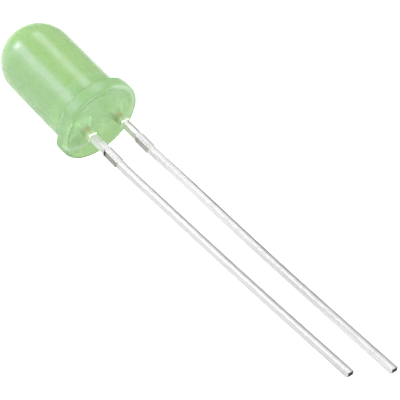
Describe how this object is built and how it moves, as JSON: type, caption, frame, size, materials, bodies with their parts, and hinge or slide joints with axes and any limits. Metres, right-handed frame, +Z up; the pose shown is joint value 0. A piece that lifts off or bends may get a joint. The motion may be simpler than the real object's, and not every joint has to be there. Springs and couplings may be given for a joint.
{
  "type": "through hole led",
  "caption": "Round diffused green through hole LED with a domed epoxy case, a flange with a cathode flat and a pair of unequal stamped wire leads, lying at rest.",
  "frame": {"origin": "on the surface it lies on, under the middle of its box", "axes": "+Z up; +X from the dome towards the tips of the leads; +Y from the cathode lead towards the anode lead"},
  "size_m": [0.0352, 0.0056, 0.0065],
  "materials": {
    "diffused_epoxy": "pale milky green epoxy, tinted and diffused, glossy from the mould",
    "plated_lead": "bright tin plate on stamped steel, with bare dark sheared ends",
    "semiconductor": "amber gallium phosphide crystal, sawn",
    "silver_adhesive": "matt silver filled epoxy",
    "gold_wire": "bright drawn gold"
  },
  "bodies": {
    "root": {"epoxy_case": "diffused_epoxy", "cathode_lead": "plated_lead", "anode_lead": "plated_lead", "led_chip": "semiconductor", "die_adhesive": "silver_adhesive", "bond_wire": "gold_wire"}
  },
  "joints": []
}
